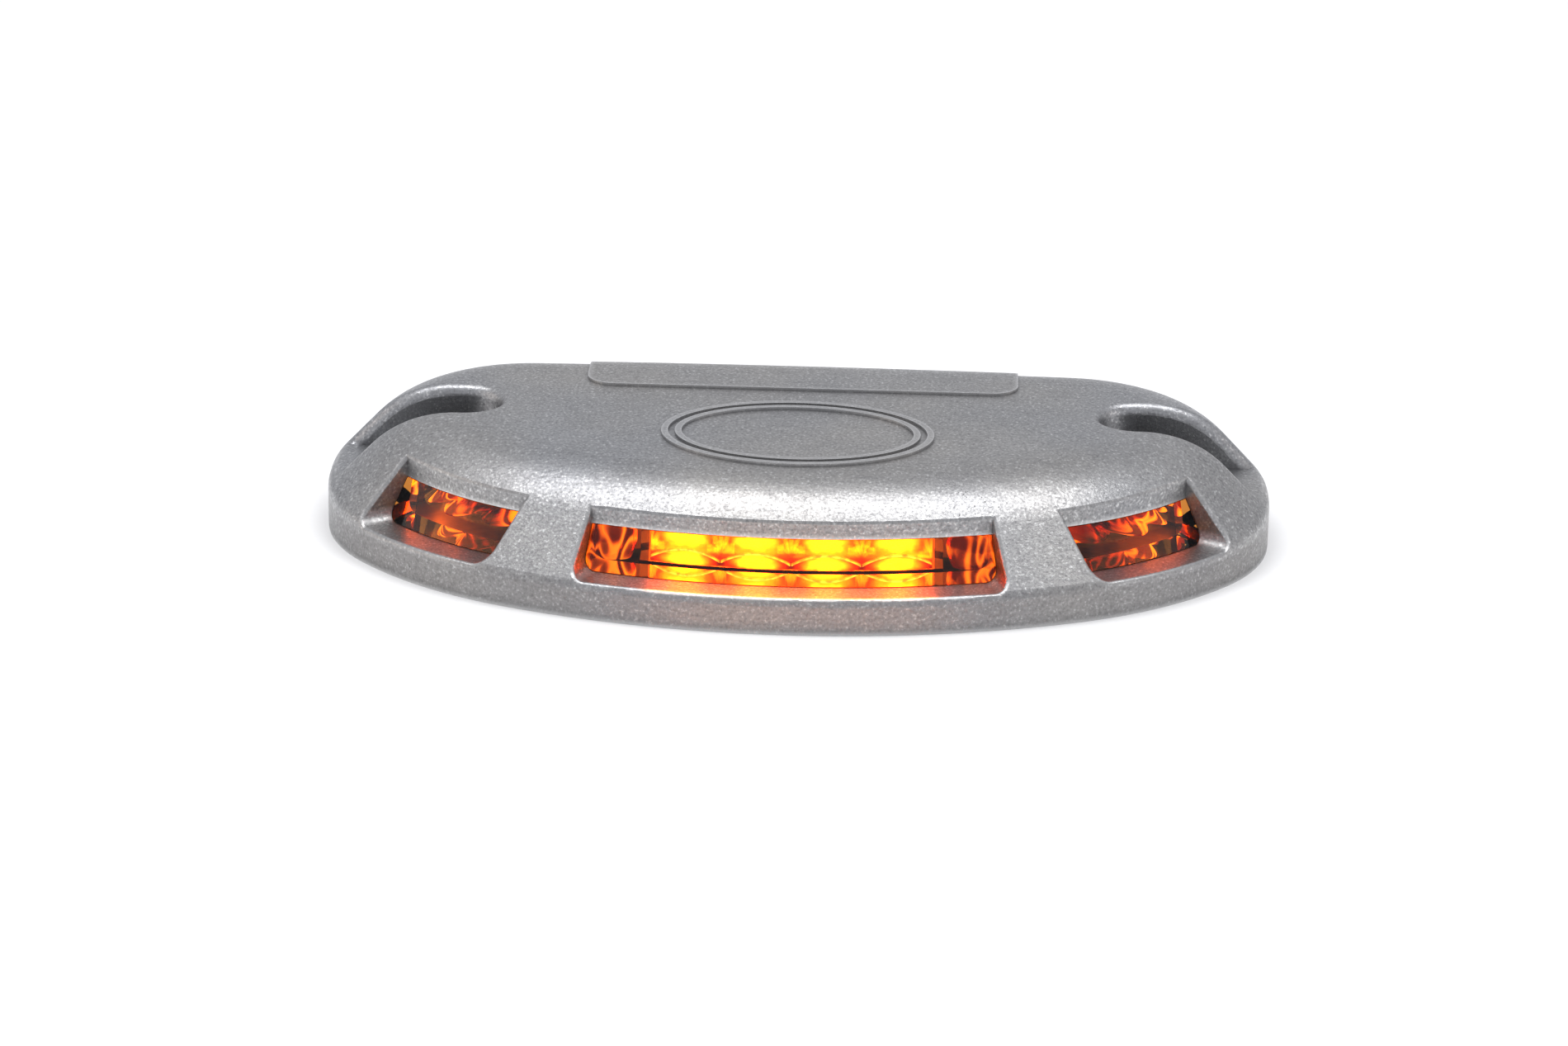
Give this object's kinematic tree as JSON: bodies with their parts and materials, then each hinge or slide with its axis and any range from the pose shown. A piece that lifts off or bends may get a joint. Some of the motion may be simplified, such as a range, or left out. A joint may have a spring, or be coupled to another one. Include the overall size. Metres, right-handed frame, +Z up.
{
  "type": "surface-mount led marker lamp",
  "caption": "Low D-shaped cast lamp with amber front windows, a rounded top, and an open screw notch at each end.",
  "frame": {"origin": "centre of the footprint, on the mounting surface", "axes": "+X right along the width, the lens windows face -Y, +Z up"},
  "size_m": [0.14, 0.0774, 0.0189],
  "materials": {
    "cast_aluminium": "tumbled casting, satin",
    "amber_lens": "clear amber moulding",
    "amber_optic": "clear amber moulding",
    "metallised_tray": "metallised",
    "white_board": "white solder mask",
    "led_package": "clear resin",
    "bare_aluminium": "satin",
    "thermal_pad": "matte",
    "zinc_steel": "zinc plated",
    "green_board": "green solder mask",
    "black_epoxy": "matte",
    "ferrite": "matte",
    "capacitor_can": "satin",
    "ceramic": "matte",
    "terminal_plastic": "matte",
    "base_plate": "mill finish",
    "black_rubber": "matte"
  },
  "bodies": {
    "root": {"base_gasket": "black_rubber", "base_plate": "base_plate", "board_screws": "zinc_steel", "bridge_diodes": "black_epoxy", "cable_grommet": "black_rubber", "ceramic_capacitors": "ceramic", "cover_screws": "zinc_steel", "driver_board": "green_board", "driver_ic": "black_epoxy", "heat_spreader": "bare_aluminium", "housing": "cast_aluminium", "inductor": "ferrite", "input_capacitors": "capacitor_can", "led_board": "white_board", "leds": "led_package", "link_header": "black_epoxy", "optic_bar": "amber_optic", "outer_lens": "amber_lens", "reflector_tray": "metallised_tray", "resistors": "black_epoxy", "side_prism_left": "amber_optic", "side_prism_right": "amber_optic", "spreader_screws": "zinc_steel", "surge_suppressor": "black_epoxy", "terminal_block": "terminal_plastic", "thermal_pad": "thermal_pad"}
  },
  "joints": []
}
